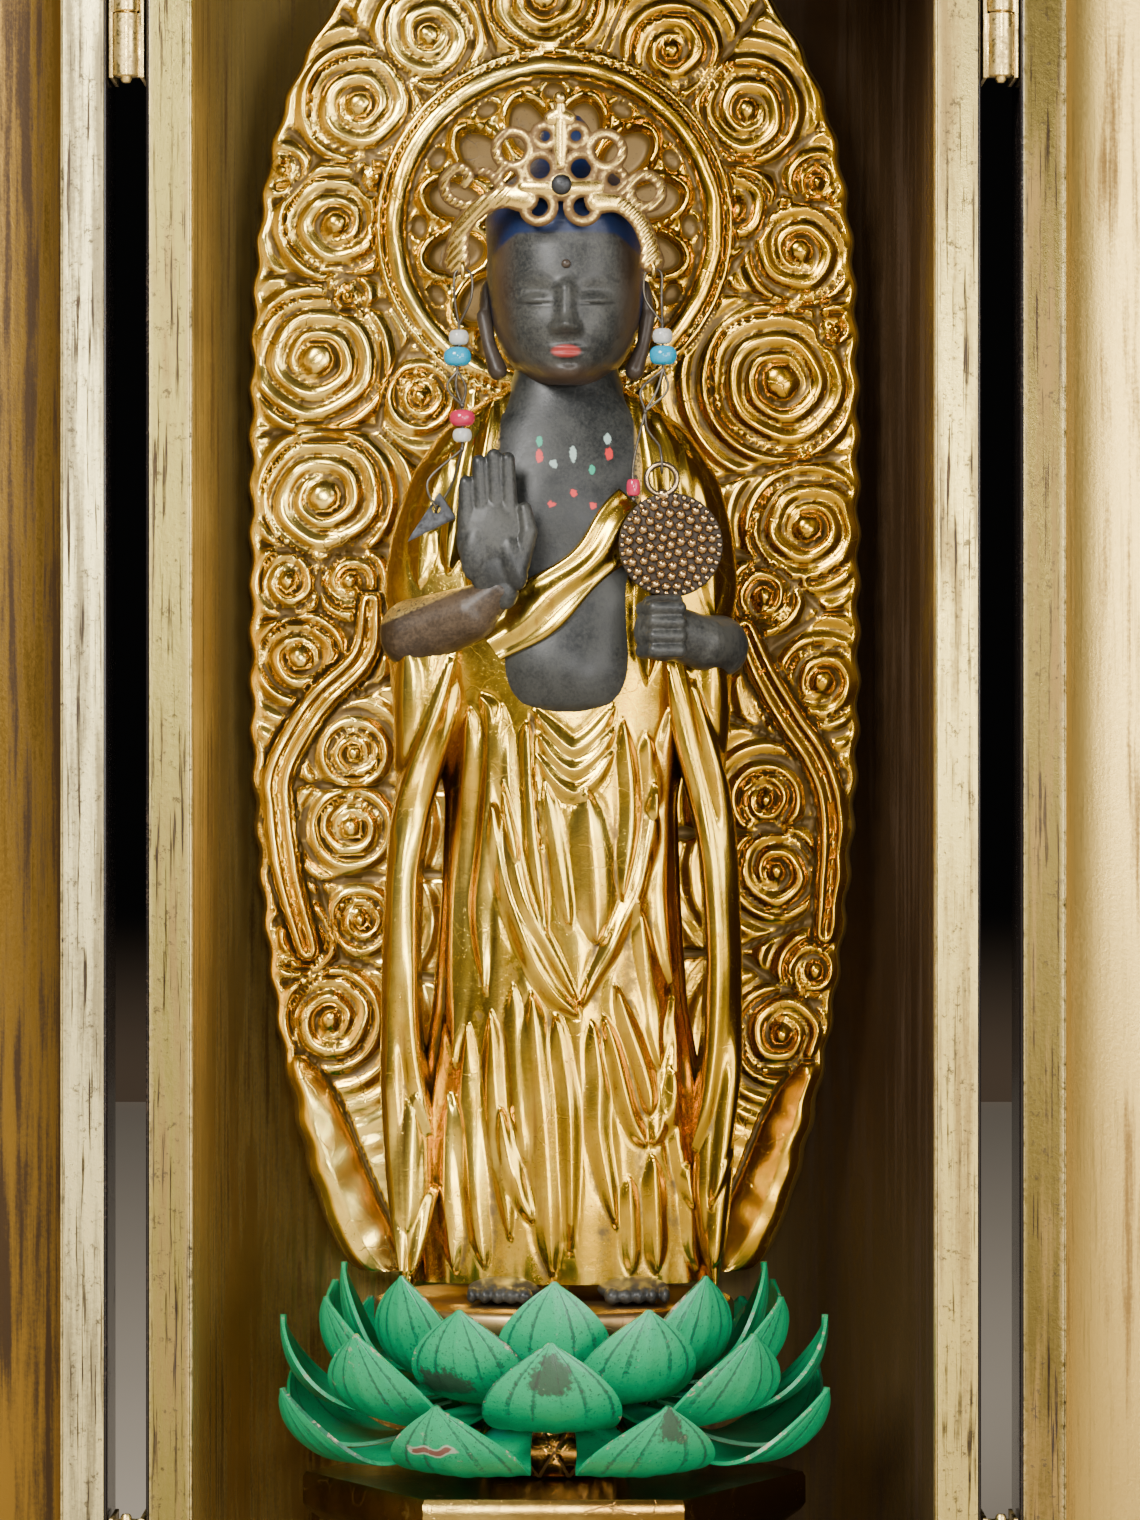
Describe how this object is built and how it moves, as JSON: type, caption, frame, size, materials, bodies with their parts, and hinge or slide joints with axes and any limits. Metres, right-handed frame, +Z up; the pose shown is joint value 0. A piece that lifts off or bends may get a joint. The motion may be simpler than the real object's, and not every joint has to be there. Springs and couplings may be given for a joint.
{
  "type": "shrine cabinet",
  "caption": "Tall gilded shrine cabinet with two hollow doors, open around a robed figure on a lotus before a pointed carved halo board, crowned, with bead hangings.",
  "frame": {"origin": "middle of the plinth's underside, under the centre of the shut cabinet", "axes": "+Z up, -Y out of the open front, +X to the viewer's right"},
  "size_m": [0.2506, 0.1214, 0.333],
  "materials": {
    "gold_leaf": "worn gold leaf over lacquered wood",
    "gold_leaf_figure": "gold leaf on the robe, dark grey paint on the bare parts",
    "black_lacquer": "black lacquer on wood",
    "old_gold_core": "darkened gilding on wood",
    "green_paint": "green mineral paint on carved wood, rubbed at the tips",
    "brass": "plain brass, darkened",
    "dark_plate": "dark thin metal plate",
    "steel_wire": "dark stiff wire",
    "granulated_bronze": "old bronze set with grains",
    "gilt_metal": "gilt metal with grey grime",
    "clear_glass": "clear glass",
    "turquoise_glass": "opaque turquoise glass",
    "pink_glass": "rose red glass"
  },
  "bodies": {
    "cabinet": {"case_shell": "gold_leaf", "dais": "gold_leaf", "lotus_neck": "gold_leaf", "halo_board": "gold_leaf", "plinth": "black_lacquer", "roof": "black_lacquer", "lotus_core": "old_gold_core", "figure": "gold_leaf_figure", "crown": "gilt_metal", "wire_left": "steel_wire", "wire_right": "steel_wire", "plate": "dark_plate", "disc_pendant": "granulated_bronze", "bead_left_clear": "clear_glass", "bead_left_small": "clear_glass", "bead_right_clear": "clear_glass", "bead_left_blue": "turquoise_glass", "bead_right_blue": "turquoise_glass", "bead_left_pink": "pink_glass", "bead_red": "pink_glass", "hinge_left_upper_case_leaf": "brass", "hinge_left_lower_case_leaf": "brass", "hinge_right_upper_case_leaf": "brass", "hinge_right_lower_case_leaf": "brass", "petal_a1": "green_paint", "petal_a2": "green_paint", "petal_a3": "green_paint", "petal_a7": "green_paint", "petal_a8": "green_paint", "petal_b1": "green_paint", "petal_b2": "green_paint", "petal_b3": "green_paint", "petal_b4": "green_paint", "petal_b5": "green_paint", "petal_b6": "green_paint", "petal_b7": "green_paint", "petal_b8": "green_paint", "petal_c1": "green_paint", "petal_c2": "green_paint", "petal_c3": "green_paint", "petal_c4": "green_paint", "petal_c5": "green_paint", "petal_c6": "green_paint", "petal_c7": "green_paint", "petal_c8": "green_paint", "petal_d1": "green_paint", "petal_d2": "green_paint", "petal_d3": "green_paint", "petal_d4": "green_paint", "petal_d5": "green_paint", "petal_d6": "green_paint", "petal_d7": "green_paint", "petal_d8": "green_paint"},
    "left_door": {"door_left": "gold_leaf", "hinge_left_upper_door_leaf": "brass", "hinge_left_lower_door_leaf": "brass"},
    "right_door": {"door_right": "gold_leaf", "hinge_right_upper_door_leaf": "brass", "hinge_right_lower_door_leaf": "brass"}
  },
  "joints": [
    {"name": "left_door_hinge", "type": "hinge", "parent": "cabinet", "child": "left_door", "pos_m": [-0.0628, -0.01815, 0.1675], "axis": [0, 0, 1], "range_deg": [0, 180]},
    {"name": "right_door_hinge", "type": "hinge", "parent": "cabinet", "child": "right_door", "pos_m": [0.0628, -0.01815, 0.1675], "axis": [0, 0, -1], "range_deg": [0, 180]}
  ]
}
